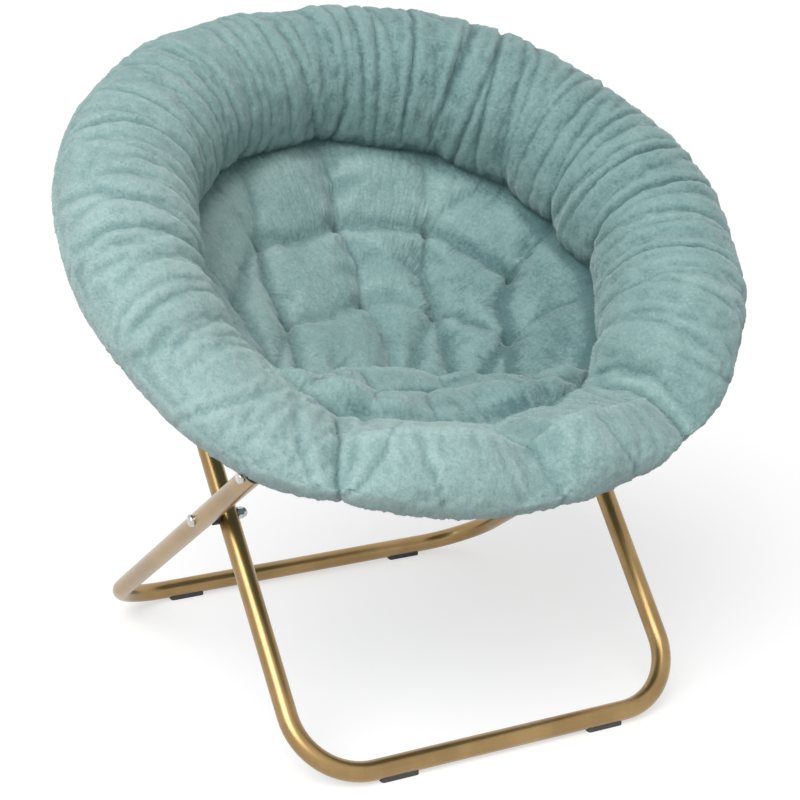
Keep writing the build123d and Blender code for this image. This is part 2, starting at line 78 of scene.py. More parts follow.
# Shader wiring: a socket with maths on it, and one way to add any other node
class Wire:
    def __init__(self, tree, socket=None):
        self.tree = tree
        self.socket = socket

    def node(self, kind, settings, sockets, out=0):
        made = self.tree.nodes.new(kind)
        for name, value in settings.items():
            setattr(made, name, value)
        for key, value in sockets.items():
            if isinstance(value, Wire):
                self.tree.links.new(value.socket, made.inputs[key])
            else:
                made.inputs[key].default_value = value
        return Wire(self.tree, made.outputs[out] if made.outputs else None)

    def maths(self, operation, first, second):
        return self.node("ShaderNodeMath", {"operation": operation}, {0: first, 1: second})

    def __add__(self, other):
        return self.maths("ADD", self, other)

    def __sub__(self, other):
        return self.maths("SUBTRACT", self, other)

    def __rsub__(self, other):
        return self.maths("SUBTRACT", other, self)

    def __mul__(self, other):
        return self.maths("MULTIPLY", self, other)

    __radd__ = __add__
    __rmul__ = __mul__

    def mix(self, factor, first, second):
        return self.node(
            "ShaderNodeMix", {"data_type": "RGBA"}, {0: factor, 6: first, 7: second}, out=2
        )

    def place(self):
        return self.node("ShaderNodeTexCoord", {}, {}, out="Object")

    def grain(self, scale, detail=3.0, rough=0.55, stretch=(1.0, 1.0, 1.0), warp=0.0):
        spot = self.node("ShaderNodeMapping", {}, {"Vector": self.place(), "Scale": stretch})
        return self.node(
            "ShaderNodeTexNoise",
            {},
            {"Vector": spot, "Scale": scale, "Detail": detail, "Roughness": rough, "Distortion": warp},
        )

    def step(self, value, low, high):
        return self.node(
            "ShaderNodeMapRange",
            {"interpolation_type": "SMOOTHSTEP"},
            {"Value": value, "From Min": low, "From Max": high},
        )


def makeFinish(name, build):
    material = bpy.data.materials.new(name)
    material.use_nodes = True
    material.node_tree.nodes.clear()
    start = Wire(material.node_tree)
    start.node("ShaderNodeOutputMaterial", {}, {"Surface": build(start)})
    return material


# Satin gold paint on the tubes and plates
gold = {
    "base": (0.385, 0.248, 0.098, 1.0),
    "deep": (0.300, 0.190, 0.072, 1.0),
    "rough": 0.31,
    "lacquer": 0.45,
    "roughSpread": 0.10,
    "fleck": 900.0,
    "cloud": 14.0,
}


def buildGold(w):
    cloud = w.grain(gold["cloud"], detail=4.0)
    fleck = w.grain(gold["fleck"], detail=2.0)
    colour = w.mix(w.step(cloud + (fleck - 0.5) * 0.3, 0.35, 0.7), gold["deep"], gold["base"])
    rough = (cloud - 0.5) * gold["roughSpread"] + (fleck - 0.5) * 0.08 + gold["rough"]
    bump = w.node("ShaderNodeBump", {}, {"Strength": 0.05, "Distance": 0.0004, "Height": fleck})
    return w.node(
        "ShaderNodeBsdfPrincipled",
        {},
        {
            "Base Color": colour,
            "Metallic": 0.92,
            "Roughness": rough,
            "Coat Weight": gold["lacquer"],
            "Coat Roughness": 0.18,
            "Normal": bump,
        },
    )


# Bright zinc on the bolts, nuts and washers
zinc = {"base": (0.70, 0.70, 0.69, 1.0), "dull": (0.50, 0.50, 0.50, 1.0), "rough": 0.28}


def buildZinc(w):
    stain = w.grain(160.0, detail=4.0)
    turned = w.grain(700.0, stretch=(6.0, 1.0, 1.0))
    colour = w.mix(w.step(stain, 0.35, 0.75), zinc["dull"], zinc["base"])
    rough = (stain - 0.5) * 0.2 + zinc["rough"]
    bump = w.node("ShaderNodeBump", {}, {"Strength": 0.12, "Distance": 0.0003, "Height": turned})
    return w.node(
        "ShaderNodeBsdfPrincipled",
        {},
        {"Base Color": colour, "Metallic": 1.0, "Roughness": rough, "Normal": bump},
    )


# Moulded plastic for caps, spacers and glides
plastic = {"black": (0.018, 0.018, 0.019, 1.0), "grey": (0.055, 0.054, 0.052, 1.0), "worn": 1.9}


def plasticBuilder(colour, rough):
    pale = tuple(min(c * plastic["worn"], 1.0) for c in colour[:3]) + (1.0,)

    def build(w):
        pebble = w.grain(1400.0, detail=2.0)
        scuff = w.grain(70.0, detail=5.0, rough=0.7)
        shade = w.mix(w.step(scuff, 0.5, 0.8), colour, pale)
        bump = w.node("ShaderNodeBump", {}, {"Strength": 0.25, "Distance": 0.0003, "Height": pebble})
        return w.node(
            "ShaderNodeBsdfPrincipled",
            {},
            {"Base Color": shade, "Roughness": (scuff - 0.5) * 0.25 + rough, "Normal": bump},
        )

    return build


# Short-pile plush: colours vary at random, with painted highlight where the cover stands up and painted shade in the
# valleys between folds
plush = {
    "deep": (0.105, 0.195, 0.200, 1.0),
    "body": (0.235, 0.370, 0.365, 1.0),
    "tip": (0.380, 0.530, 0.515, 1.0),
    "paintedCreaseShade": (0.040, 0.085, 0.090, 1.0),
    "tuftScale": 260.0,
    "fibreScale": 900.0,
    "napScale": 11.0,
    "streak": (5.0, 1.0, 5.0),
}


def buildPlush(w):
    tuft = w.grain(plush["tuftScale"], detail=3.0, rough=0.6, warp=0.6)
    fibre = w.grain(plush["fibreScale"], detail=2.0, rough=0.7)
    napToneAndPaintedLight = w.grain(plush["napScale"], detail=4.0, rough=0.55, warp=1.2)
    streak = w.grain(26.0, detail=4.0, rough=0.6, stretch=plush["streak"], warp=0.8)
    paintedCreaseShade = w.node("ShaderNodeAttribute", {"attribute_name": "paintedCreaseShade"}, {}, out="Fac")
    paintedCrestLight = w.node("ShaderNodeAttribute", {"attribute_name": "paintedCrestLight"}, {}, out="Fac")
    # painted light from the cover's attribute: crests and lit sides lighter, valleys darker, added to the random
    # tone
    tone = tuft * 0.55 + fibre * 0.35 + napToneAndPaintedLight * 0.40 + streak * 0.35 + paintedCrestLight * 0.22 - 0.325
    low = w.mix(w.step(tone, 0.12, 0.58), plush["deep"], plush["body"])
    lit = w.mix(w.step(tone, 0.50, 0.98), low, plush["tip"])
    # painted shade: creases, tufts and seams darkened towards a deep shade colour
    colour = w.mix(w.step(paintedCreaseShade, 0.10, 1.0) * 0.8, lit, plush["paintedCreaseShade"])
    height = tuft * 0.7 + fibre * 0.3
    bump = w.node("ShaderNodeBump", {}, {"Strength": 0.5, "Distance": 0.003, "Height": height})
    return w.node(
        "ShaderNodeBsdfPrincipled",
        {},
        {
            "Base Color": colour,
            "Roughness": (tuft - 0.5) * 0.15 + 0.9,
            "Specular IOR Level": 0.12,
            "Sheen Weight": 0.55,
            "Sheen Roughness": 0.45,
            "Sheen Tint": (0.86, 0.95, 0.94, 1.0),
            "Normal": bump,
        },
    )


finishes = {
    "gold_paint": makeFinish("satinGold", buildGold),
    "zinc_steel": makeFinish("brightZinc", buildZinc),
    "black_plastic": makeFinish("blackPlastic", plasticBuilder(plastic["black"], 0.5)),
    "grey_plastic": makeFinish("greyPlastic", plasticBuilder(plastic["grey"], 0.6)),
    "plush": makeFinish("tealPlush", buildPlush),
}
slotOf = {row["node"]: row["material_slot"] for row in frame["record"]["subparts"]}
for name, node in nodes.items():
    node.data.materials.clear()
    node.data.materials.append(finishes[slotOf[name]])
print("finishes on the frame")

# Cushion: one sewn cover, worked out in the seat's own plane.
# Angles run from the right-hand side round over the back; the front is at 270 degrees.
seat = {"tilt": 30.0, "centre": (0.0, -0.005, 0.586)}
cushion = {
    "around": 780,
    "rows": {"pad": 48, "inner": 28, "upper": 20, "lower": 12, "under": 6, "base": 14},
    "seamRadius": 0.272,
    "seamDepth": 0.078,
    "underRadius": 0.290,
    "underDepth": 0.112,
    "padDepth": 0.172,
    "padThickness": 0.040,
    "bottomRadius": 0.355,
    "underSag": 0.004,
    "frontMiddle": -1.0,
    "frontClimb": 0.024,
    "frontFlat": 0.8,
    "roundness": 0.95,
    "crownShare": 0.55,
    "upperShare": 0.45,
    "seed": 11,
}
seam = {"out": 0.004, "bow": 0.008, "usualSpan": 0.5, "least": 0.3, "most": 1.3}
# rim sections by degrees from the front: crown radius and height, widest radius and height, bottom (mm)
rim = (
    (-180, 356, 55, 422, -4, -75),
    (-150, 355, 61, 426, -2, -75),
    (-120, 355, 66, 427, 0, -75),
    (-95, 359, 60, 427, -4, -76),
    (-75, 370, 38, 430, -10, -80),
    (-58, 380, 10, 432, -30, -88),
    (-45, 374, -7, 431, -36, -91),
    (-37, 362, -14, 428, -35, -88),
    (-32, 352, -8, 427, -29, -84),
    (-26, 350, 13, 427, -20, -80),
    (-20, 350, 20, 424, -26, -80),
    (-14, 350, 18, 423, -27, -79),
    (-8, 350, 9, 422, -27, -79),
    (-3, 350, 2, 423, -26, -78),
    (1, 350, 8, 423, -26, -78),
    (4, 350, 22, 423, -25, -77),
    (8, 350, 28, 423, -24, -77),
    (12, 350, 28, 423, -23, -77),
    (18, 350, 15, 423, -23, -77),
    (24, 352, 2, 425, -22, -78),
    (30, 354, -6, 425, -24, -79),
    (35, 356, 4, 426, -18, -78),
    (41, 356, 34, 426, -4, -76),
    (50, 356, 58, 424, 0, -75),
    (64, 356, 70, 426, 0, -75),
    (90, 355, 73, 429, 0, -75),
    (120, 355, 73, 435, 0, -75),
    (150, 356, 67, 434, 0, -75),
)
corners = (14, 33, 54, 90, 117, 128, 148, 184, 222, 238, 252, 270, 288, 301, 320, 352)
plainCorner = 222  # gathered, yet not pulled out
tufts = {
    "a": (-115, 156), "b": (9, 181), "c": (129, 147), "d": (205, 37), "e": (158, -64),
    "f": (-117, 30), "g": (7, 63), "h": (92, 19), "i": (-190, 40), "j": (-178, -70),
}
# where the seat's front rides up: path, rise and its reach, how it eases off, dip, and darkness of the painted shade
# along the line
fold = {
    "path": (
        (-240, -118), (-175, -122), (-120, -90), (-77, -76), (8, -100),
        (58, -120), (85, -146), (115, -170), (190, -186), (240, -170),
    ),
    "rise": 0.030, "over": 0.024, "ease": 0.6, "easeFrom": 0.060, "easeTo": 0.150,
    "dip": 0.008, "paintedShade": 0.45, "darkReach": 0.006,
}
secondFold = {
    "path": ((-240, -190), (-150, -150), (-90, -170), (-21, -166), (40, -185), (84, -214), (150, -225)),
    "rise": 0.012, "over": 0.020, "ease": 1.0, "easeFrom": 0.03, "easeTo": 0.08,
    "dip": 0.007, "paintedShade": 0.25, "darkReach": 0.004,
}
# creases: the last column is how dark the painted shade along each one is
creases = (  # ends, how deep, how dark
    ("a", "b", 1.0, 0.6), ("b", "c", 1.0, 0.5), ("c", "d", 1.0, 0.4), ("d", "e", 1.0, 0.7),
    ("a", "f", 1.1, 0.9), ("b", "g", 0.9, 0.8), ("c", "h", 0.9, 0.8), ("f", "g", 0.9, 0.5),
    ("g", "h", 0.5, 0.2), ("h", "e", 0.6, 0.1), ("a", "i", 0.8, 0.4), ("i", "j", 0.8, 0.4), ("f", "j", 0.7, 0.4),
    ("a", (-117, 246), 0.6, 0.25), ("b", (10, 272), 0.9, 0.7), ("c", (150, 226), 0.5, 0.2),
    ("c", (215, 166), 0.5, 0.3), ("d", (262, 68), 0.9, 0.8), ("e", (268, -60), 0.5, 0.3),
    ("f", (-150, -100), 1.0, 0.9), ("g", (-10, -75), 0.8, 0.7), ("h", (8, -90), 0.8, 0.9),
    ("h", (58, -108), 0.8, 0.8), ("e", (80, -132), 0.8, 0.6), ("e", (112, -158), 0.8, 0.7),
    ((-77, -70), (-90, -170), 0.6, 0.3), ((30, -98), (10, -170), 0.7, 0.5),
    ((115, -160), (84, -214), 0.6, 0.3), ((-90, -170), (-150, -225), 0.6, 0.3),
    ((-21, -166), (-60, -262), 0.6, 0.2), ((84, -214), (90, -256), 0.5, 0.2),
)
# dark and darkReach: how dark and how wide the painted shade runs along creases, at tufts and along their pulls
creaseForm = {"bend": 0.10, "depth": 0.021, "reach": 0.021, "sharp": 1.15, "paintedShade": 0.5, "darkReach": 0.0065}
tuftForm = {"depth": 0.010, "reach": 0.014, "paintedShade": 0.9, "darkReach": 0.006}
pullForm = {"count": 5, "length": (0.025, 0.05), "width": 0.004, "fade": 0.022, "depth": 0.003, "paintedShade": 0.4}


def smooth(x, low, high):
    t = np.clip((x - low) / (high - low), 0.0, 1.0)
    return t * t * (3.0 - 2.0 * t)


def turnGap(a, b):
    return (a - b + np.pi) % (2.0 * np.pi) - np.pi


def byFront(front, near, far):
    # 1 at the middle of the low front edge, 0 beyond it
    return 1.0 - smooth(np.abs(front - cushion["frontMiddle"]), near, far)


def throughTable(at, column):
    # smooth closed curve through one column of the rim table
    a = np.array([row[0] for row in rim], float)
    v = np.array([row[column] for row in rim], float) / 1000.0
    a = np.concatenate([a - 360.0, a, a + 360.0])
    v = np.tile(v, 3)
    k = np.searchsorted(a, at, side="right") - 1
    wide = a[k + 1] - a[k]
    t = (at - a[k]) / wide
    m0 = (v[k + 1] - v[k - 1]) / (a[k + 1] - a[k - 1]) * wide
    m1 = (v[k + 2] - v[k]) / (a[k + 2] - a[k]) * wide
    return (1 - t) ** 2 * ((1 + 2 * t) * v[k] + t * m0) + t**2 * ((3 - 2 * t) * v[k + 1] - (1 - t) * m1)


def seatToWorld(across, along, above):
    lean = math.radians(seat["tilt"])
    cx, cy, cz = seat["centre"]
    back = cy + along * math.cos(lean) - above * math.sin(lean)
    up = cz + along * math.sin(lean) + above * math.cos(lean)
    return np.stack([cx + across, back, up], axis=-1)


def bowlHeight(radius, depth, edgeRadius, edgeDepth):
    drop = depth - edgeDepth
    ball = (edgeRadius**2 + drop**2) / (2.0 * drop)
    return -depth + ball - np.sqrt(np.maximum(ball**2 - radius**2, 0.0))


def seamPath(turn):
    # scalloped: pulled out at the corners, bowed in between them
    c = np.sort(np.radians([k for k in corners if k != plainCorner]))
    ends = np.concatenate([c, c[:1] + 2 * np.pi])
    where = np.where(turn < c[0], turn + 2 * np.pi, turn)
    k = np.clip(np.searchsorted(ends, where, side="right") - 1, 0, len(c) - 1)
    span = ends[k + 1] - ends[k]
    share = (where - ends[k]) / span
    bow = np.sin(np.pi * share)
    slack = np.clip(span / seam["usualSpan"], seam["least"], seam["most"])
    return cushion["seamRadius"] + seam["out"] - seam["bow"] * bow * slack, bow


def sections():
    c, rows = cushion, cushion["rows"]
    turn = np.arange(c["around"]) * 2.0 * np.pi / c["around"]
    front = np.degrees(turnGap(turn, -np.pi / 2))
    crownR, crownS, wideR, wideS, bottom = (throughTable(front, k) for k in range(1, 6))
    seamR, bow = seamPath(turn)
    climb = c["frontClimb"] * byFront(front, 22.0, 46.0)
    seamS = climb - c["seamDepth"]
    radius, height, roll = [], [], []

    def put(r, h, q):
        radius.append(np.broadcast_to(r, turn.shape))
        height.append(np.broadcast_to(h, turn.shape))
        roll.append(q)

    for i in range(rows["pad"]):
        share = (i + 0.7) / (rows["pad"] + 0.7)
        bowl = bowlHeight(c["seamRadius"] * share, c["padDepth"], c["seamRadius"], c["seamDepth"])
        put(seamR * share, bowl + climb * smooth(share, 0.55, 1.0), -1.0)
    # inner side: from the seam out and up to the crown, fuller than a straight line
    reach, rise = crownR - seamR, crownS - seamS
    arc = (reach**2 + rise**2) / (2.0 * rise)
    half = np.arcsin(np.clip(reach / arc, 0.0, 1.0))
    sweep = np.where(rise > arc, np.pi - half, half)
    low = c["frontFlat"] * byFront(front, 28.0, 44.0)  # the front edge has hardly any belly
    for i in range(rows["inner"]):
        q = i / rows["inner"]
        a = sweep * (1.0 - q)
        r, h = crownR - arc * np.sin(a), crownS - arc + arc * np.cos(a)
        put(r + (seamR + reach * q - r) * low, h + (seamS + rise * q - h) * low, c["crownShare"] * q)
    for i in range(rows["upper"]):
        a = np.pi / 2 * i / rows["upper"]
        out, up = math.sin(a) ** c["roundness"], math.cos(a) ** c["roundness"]
        q = c["crownShare"] + c["upperShare"] * i / rows["upper"]
        put(crownR + (wideR - crownR) * out, wideS + (crownS - wideS) * up, q)
    under = c["bottomRadius"]
    for i in range(rows["lower"]):
        a = np.pi / 2 * i / rows["lower"]
        out, down = math.cos(a), math.sin(a)
        put(under + (wideR - under) * out, wideS + (bottom - wideS) * down, 1.0 + 0.5 * i / rows["lower"])
    for i in range(rows["under"]):
        q = i / rows["under"]
        sag = c["underSag"] * math.sin(np.pi * q)
        put(under + (c["underRadius"] - under) * q, bottom + (-c["underDepth"] - bottom) * q - sag, 1.5 + 0.5 * q)
    for i in range(rows["base"]):
        r = c["underRadius"] * (1.0 - i / (rows["base"] - 0.3))
        put(r, bowlHeight(r, c["padDepth"] + c["padThickness"], c["underRadius"], c["underDepth"]), 3.0)
    return turn, front, np.array(radius), np.array(height), np.array(roll), bow


def gridNormals(points):
    along = np.gradient(points, axis=0)
    across = np.roll(points, -1, axis=1) - np.roll(points, 1, axis=1)
    normal = np.cross(along, across)
    return normal / np.maximum(np.linalg.norm(normal, axis=-1, keepdims=True), 1e-12)


def lineGap(x, y, first, second):
    run = second - first
    t = np.clip(((x - first[0]) * run[0] + (y - first[1]) * run[1]) / (run @ run), 0.0, 1.0)
    return np.hypot(x - first[0] - t * run[0], y - first[1] - t * run[1])


def foldSide(x, y, path):
    # signed distance to a fold line: above 0 lies in front of it
    across, along = np.array(path).T / 1000.0
    grid = np.linspace(-0.3, 0.3, 601)
    tilt = np.interp(x, grid, np.gradient(np.interp(grid, across, along), 0.001))
    return (np.interp(x, across, along) - y) / np.sqrt(1.0 + np.clip(tilt, -1.5, 1.5) ** 2)


def padForm(x, y):
    rng = np.random.default_rng(cushion["seed"])
    spot = {k: np.array(v) / 1000.0 for k, v in tufts.items()}
    # dip shapes the pad; the second field is painted shade along creases, at tufts, along pulls and on the fold
    # lines
    dip = np.zeros_like(x)
    paintedShade = np.zeros_like(x)
    c = creaseForm
    for a, b, deep, darkness in creases:
        first = spot[a] if isinstance(a, str) else np.array(a) / 1000.0
        second = spot[b] if isinstance(b, str) else np.array(b) / 1000.0
        run = second - first
        middle = (first + second) / 2 + rng.uniform(-c["bend"], c["bend"]) * np.array([-run[1], run[0]])
        for p, q in ((first, middle), (middle, second)):
            gap = lineGap(x, y, p, q)
            dip = np.minimum(dip, -c["depth"] * deep * np.exp(-((gap / c["reach"]) ** c["sharp"])))
            paintedShade = np.maximum(paintedShade, c["paintedShade"] * darkness * np.exp(-((gap / c["darkReach"]) ** 2)))
    for p in spot.values():
        gap = np.hypot(x - p[0], y - p[1])
        dip = dip - tuftForm["depth"] * np.exp(-((gap / tuftForm["reach"]) ** 2))
        paintedShade = np.maximum(paintedShade, tuftForm["paintedShade"] * np.exp(-((gap / tuftForm["darkReach"]) ** 2)))
        for _ in range(pullForm["count"]):
            a = rng.uniform(0.0, 2.0 * np.pi)
            far = p + rng.uniform(*pullForm["length"]) * np.array([math.cos(a), math.sin(a)])
            pull = np.exp(-lineGap(x, y, p, far) / pullForm["width"]) * np.exp(-gap / pullForm["fade"])
            dip = dip - pullForm["depth"] * pull
            paintedShade = np.maximum(paintedShade, pullForm["paintedShade"] * pull)
    for line in (fold, secondFold):
        g = foldSide(x, y, line["path"])
        eased = 1.0 - line["ease"] * smooth(g, line["easeFrom"], line["easeTo"])
        dip = dip + line["rise"] * smooth(g, -0.002, line["over"]) * eased - line["dip"] * np.exp(-np.abs(g) / 0.010)
        paintedShade = np.maximum(paintedShade, line["paintedShade"] * np.exp(-((g / line["darkReach"]) ** 2)))
    return dip, paintedShade


# gathers over the rim, as ranges to draw from: degrees, shares of the way over the roll, metres
gather = {
    "corner": {
        "stray": 2.4, "fan": (-16, 16), "first": (-0.15, 0.0), "last": (0.6, 1.5),
        "depth": (0.0016, 0.0034), "width": (0.005, 0.010), "wander": 1.0,
    },
    "small": {
        "fan": (-12, 12), "first": (-0.1, 0.8), "length": (0.5, 1.1),
        "depth": (0.0006, 0.0018), "width": (0.005, 0.010), "wander": 1.6,
    },
    "long": {
        "stray": 2.0, "fan": (-5, 9), "first": (-0.1, 0.12), "last": (0.8, 1.15),
        "depth": (0.0018, 0.0038), "width": (0.0038, 0.0055), "wander": 0.9,
    },
    "close": {
        "stray": 0.9, "fan": (-6, 6), "first": (-0.05, 0.2), "length": (0.6, 1.0),
        "depth": (0.0012, 0.0026), "width": (0.005, 0.007), "wander": 0.8,
    },
}


def pleatShape(gap, width, depth):
    ridge = 0.5 * np.exp(-(((gap - 1.9 * width) / (1.5 * width)) ** 2))
    return depth * (ridge - np.exp(-((gap / width) ** 1.35)))


def gathers(turn, roll, radius):
    rng = np.random.default_rng(cushion["seed"] + 1)
    dip = np.zeros((len(roll), len(turn)))
    paintedShade = np.zeros_like(dip)
    q = roll[:, None]

    def draw(kind, name):
        return rng.uniform(*gather[kind][name])

    def pleat(kind, start, fan, first, last):
        depth, width = draw(kind, "depth"), draw(kind, "width")
        wander = math.radians(gather[kind]["wander"]) * np.sin(5.0 * q + 40.0 * start)
        path = start + math.radians(fan) * np.clip(q, 0.0, 1.4) ** 0.85 + wander
        gap = np.abs(turnGap(turn[None, :], path)) * radius
        fade = smooth(q, first, first + 0.18) * (1.0 - smooth(q, last - 0.3, last))
        fade = fade * (1.0 - 0.7 * smooth(q, 0.72, 1.0))
        dip[:] += fade * pleatShape(gap, width, depth)
        # painted shade in the pleat's valley
        paintedShade[:] = np.maximum(paintedShade, fade * (depth / 0.009) * np.exp(-((gap / (0.35 * width + 0.0012)) ** 2)))

    for corner in np.radians(corners):
        for _ in range(4):
            start = corner + math.radians(rng.normal(0.0, gather["corner"]["stray"]))
            fan, first, last = (draw("corner", k) for k in ("fan", "first", "last"))
            pleat("corner", start, fan, first, last)
    for _ in range(95):
        first = draw("small", "first")
        last = first + draw("small", "length")
        start, fan = rng.uniform(0, 2 * np.pi), draw("small", "fan")
        pleat("small", start, fan, first, last)
    # long folds from the seam out over the roll, on the right and the back
    for degrees in np.arange(-32.0, 152.0, 7.4):
        start = math.radians(degrees + rng.normal(0.0, gather["long"]["stray"]))
        fan, first, last = (draw("long", k) for k in ("fan", "first", "last"))
        pleat("long", start, fan, first, last)
    # close gathers over the inner edge on the left
    for degrees in np.arange(150.0, 246.0, 3.1):
        first = draw("close", "first")
        start = math.radians(degrees + rng.normal(0.0, gather["close"]["stray"]))
        fan, last = draw("close", "fan"), first + draw("close", "length")
        pleat("close", start, fan, first, last)
    return dip, paintedShade


# darkness is that of the painted shade along each fold
lip = (  # folds over the low front edge: degrees from the front, lean, depth, width, darkness
    (-35.4, 5.0, 0.012, 1.8, 0.7),
    (-28.0, -10.0, 0.004, 1.2, 0.4),
    (-1.0, 7.0, 0.011, 2.8, 0.2),
    (13.0, 9.0, 0.005, 3.0, 0.12),
    (31.0, -3.0, 0.010, 1.8, 0.5),
)


def lipFolds(front, roll):
    q = roll[:, None]
    over = smooth(q, 0.0, 0.25) * (1.0 - smooth(q, 1.2, 1.5))
    dip = np.zeros((len(roll), len(front)))
    paintedShade = np.zeros_like(dip)
    for middle, lean, depth, width, darkness in lip:
        gap = np.abs(front[None, :] - middle - lean * (q - 0.6))
        dip -= depth * over * np.exp(-gap / width) * (1.0 - 0.65 * smooth(q, 0.75, 1.05))
        # painted shade in the fold
        paintedShade = np.maximum(paintedShade, darkness * over * np.exp(-((gap / 0.45) ** 2)))
    return dip, paintedShade


def waves(turn, roll):
    rng = np.random.default_rng(cushion["seed"] + 2)
    q = roll[:, None]
    out = np.zeros((len(roll), len(turn)))
    for _ in range(26):
        count, phase = rng.integers(3, 24), rng.uniform(0.0, 2.0 * np.pi)
        out += math.cos(phase) * np.sin(count * turn[None, :] + phase + rng.uniform(-3.0, 3.0) * q) / count**0.55
    return out


def coverForm():
    turn, front, radius, height, roll, bow = sections()
    x, y = radius * np.cos(turn), radius * np.sin(turn)
    onPad = (roll < 0)[:, None]
    q = roll[:, None]
    nearLip = byFront(front, 27.0, 36.0)[None, :]
    seamCalm = 1.0 - 0.6 * nearLip
    seamShade = 1.0 - 0.75 * nearLip
    dip, paintedShade = padForm(x, y)
    rimFade = smooth(cushion["seamRadius"] - radius, 0.0, 0.035)
    seamDip = -0.003 * np.exp(-np.abs(cushion["seamRadius"] - radius) / 0.006) * seamCalm
    height = height + np.where(onPad, dip * (0.35 + 0.65 * rimFade) + 0.010 * rimFade + seamDip, 0.0)
    # the pad's painted shade, halved at the seam
    paintedShade = np.where(onPad, paintedShade * (0.5 + 0.5 * rimFade), 0.0)
    points = np.stack([x, y, height], axis=-1)
    normal = gridNormals(points)
    pleats, pleatPaintedShade = gathers(turn, roll, radius)
    folds, lipFoldPaintedShade = lipFolds(front, roll)
    # fewer gathers along the low front, left of it, and round the top left
    calm = (1.0 - 0.8 * nearLip) * (1.0 - 0.7 * np.exp(-(((front + 49.0) / 11.0) ** 2)))[None, :]
    fromTop = np.degrees(turnGap(turn, np.radians(118.0)))
    calm = calm * (1.0 - 0.45 * np.exp(-((fromTop / 36.0) ** 2)))[None, :]
    hold = np.exp(-np.clip(q, 0.0, 9.0) / 0.20) * 0.003 + np.exp(-np.abs(q - 0.5) / 0.4) * 0.001
    puff = (bow[None, :] - 0.6) * hold * seamCalm
    seamRim = -0.003 * np.exp(-np.abs(q) / 0.04) * seamCalm
    push = pleats * calm + folds + puff + waves(turn, roll) * 0.0018 + seamRim
    ease = np.where((roll >= 0.0) & (roll < 2.5), 1.0 - smooth(roll, 1.3, 1.9), 0.0)[:, None]
    points = points + normal * (push * ease)[..., None]
    # painted shade along the seam, on the rim and the pad, weaker near the low front, joined with the painted shade
    # of creases, pleats and lip folds
    rimSeamPaintedShade = 0.6 * np.exp(-((q / 0.035) ** 2)) * seamShade
    rimPaintedShade = np.maximum(np.maximum(pleatPaintedShade * calm, lipFoldPaintedShade), rimSeamPaintedShade)
    padSeamPaintedShade = np.exp(-(((cushion["seamRadius"] - radius) / 0.004) ** 2)) * 0.6 * seamShade
    paintedShade = np.where(onPad, np.maximum(paintedShade, padSeamPaintedShade), rimPaintedShade * ease)
    return points, np.clip(paintedShade, 0.0, 1.0), roll


def meshFromGrid(name, points):
    # rings of points, closed by a fan at each end
    rows, around = points.shape[:2]
    verts = points.reshape(-1, 3)
    i = np.arange(rows - 1)[:, None] * around
    j = np.arange(around)[None, :]
    k = (j + 1) % around
    faces = np.stack([i + j, i + around + j, i + around + k, i + k], axis=-1).reshape(-1, 4).tolist()
    middle = len(verts)
    verts = np.concatenate([verts, points[:1].mean(axis=1), points[-1:].mean(axis=1)])
    last = (rows - 1) * around
    faces += [[middle, n, (n + 1) % around] for n in range(around)]
    faces += [[middle + 1, last + (n + 1) % around, last + n] for n in range(around)]
    mesh = bpy.data.meshes.new(name)
    mesh.from_pydata(verts.tolist(), [], faces)
    mesh.update()
    return mesh


# Filling pressed out by cloth simulation on every second row, held at seams and tufts
swell = {
    "frames": 20,
    "cap": 0.004,
    "rules": {
        "quality": 6, "mass": 0.25, "tension_stiffness": 20.0, "compression_stiffness": 20.0,
        "shear_stiffness": 8.0, "bending_stiffness": 0.6, "use_pressure": True,
        "uniform_pressure_force": 4.0, "shrink_min": -0.02, "vertex_group_mass": "held",
    },
}


def swollen(points, hold):
    mesh = meshFromGrid("swellTrial", points)
    trial = bpy.data.objects.new("swellTrial", mesh)
    scene.collection.objects.link(trial)
    group = trial.vertex_groups.new(name="held")
    weights = np.append(hold.reshape(-1), [1.0, 1.0])
    for level in np.unique(np.round(weights, 1)):
        members = np.nonzero(np.round(weights, 1) == level)[0].tolist()
        group.add(members, float(level), "REPLACE")
    cloth = trial.modifiers.new("swell", "CLOTH")
    for name, value in swell["rules"].items():
        setattr(cloth.settings, name, value)
    cloth.settings.effector_weights.gravity = 0.0
    cloth.point_cache.frame_start = 1
    cloth.point_cache.frame_end = swell["frames"]
    for number in range(1, swell["frames"] + 1):
        scene.frame_set(number)
    shaped = trial.evaluated_get(bpy.context.evaluated_depsgraph_get())
    flat = np.zeros(len(shaped.data.vertices) * 3, np.float32)
    shaped.data.vertices.foreach_get("co", flat)
    moved = flat.reshape(-1, 3)[: points.shape[0] * points.shape[1]].reshape(points.shape) - points
    bpy.data.objects.remove(trial)
    bpy.data.meshes.remove(mesh)
    scene.frame_set(1)
    size = np.linalg.norm(moved, axis=-1, keepdims=True)
    return moved * (np.tanh(size / swell["cap"]) * swell["cap"] / np.maximum(size, 1e-9))


def finer(field, rows, around):
    # back from every second row and column to all of them
    full = np.zeros((rows, around, 3))
    full[::2, ::2] = field
    full[::2, 1::2] = (field + np.roll(field, -1, axis=1)) / 2
    odd = full[1::2]
    odd[:] = full[0:-1:2][: len(odd)]
    after = full[2::2]
    odd[: len(after)] = (odd[: len(after)] + after) / 2
    return full


# painted light: paler towards the front on the left, and on the pad towards the back, where the light falls, laid
# out like brushed nap; painted highlight on crests and painted shade in valleys
napToneAndPaintedLight = {
    "rim": 0.85, "rimPaintedLightTowards": 218.0, "pad": 1.25, "padPaintedLightTowards": 145.0,
    "stand": 0.75, "standHeight": 0.0018, "calmRadius": 0.12,
}
clumps = {"scale": 95.0, "height": 0.0014, "fine": 0.0005, "calmRadius": 0.15}


